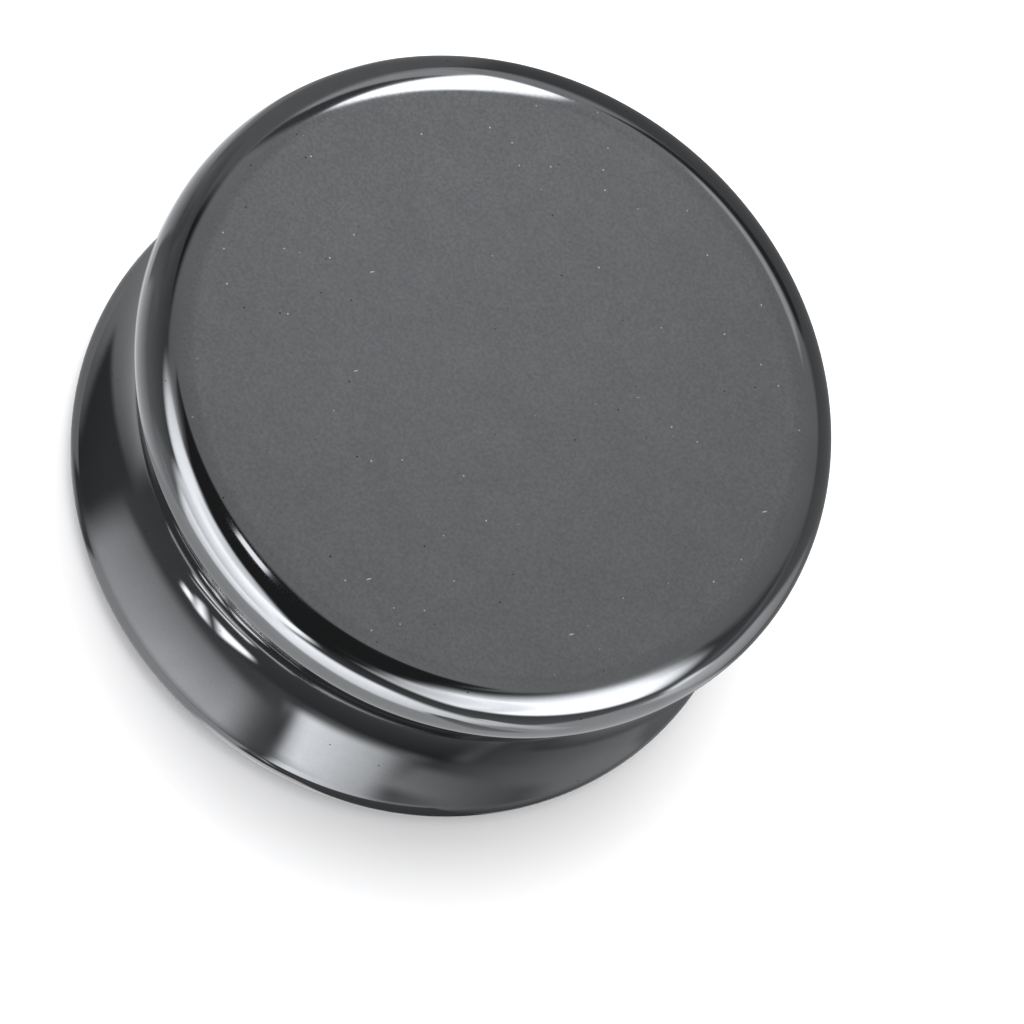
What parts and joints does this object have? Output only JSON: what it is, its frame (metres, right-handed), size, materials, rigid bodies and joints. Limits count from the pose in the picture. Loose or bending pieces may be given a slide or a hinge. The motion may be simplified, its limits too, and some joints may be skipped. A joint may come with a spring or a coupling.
{
  "type": "ear plug gauge",
  "caption": "Solid polished stone ear plug for a stretched lobe: a short round spool with a concave saddle waist between rounded flared rims, and flat polished faces.",
  "frame": {"origin": "centre of the flat face that the plug rests on", "axes": "+Z along the plug's axis, from the face that it rests on to the upper face; it is round, so +X and +Y are any pair across it"},
  "size_m": [0.028, 0.028, 0.012],
  "materials": {
    "polished_hematite": "mirror polished hematite, metallic grey lustre"
  },
  "bodies": {
    "root": {"saddle_plug": "polished_hematite"}
  },
  "joints": []
}
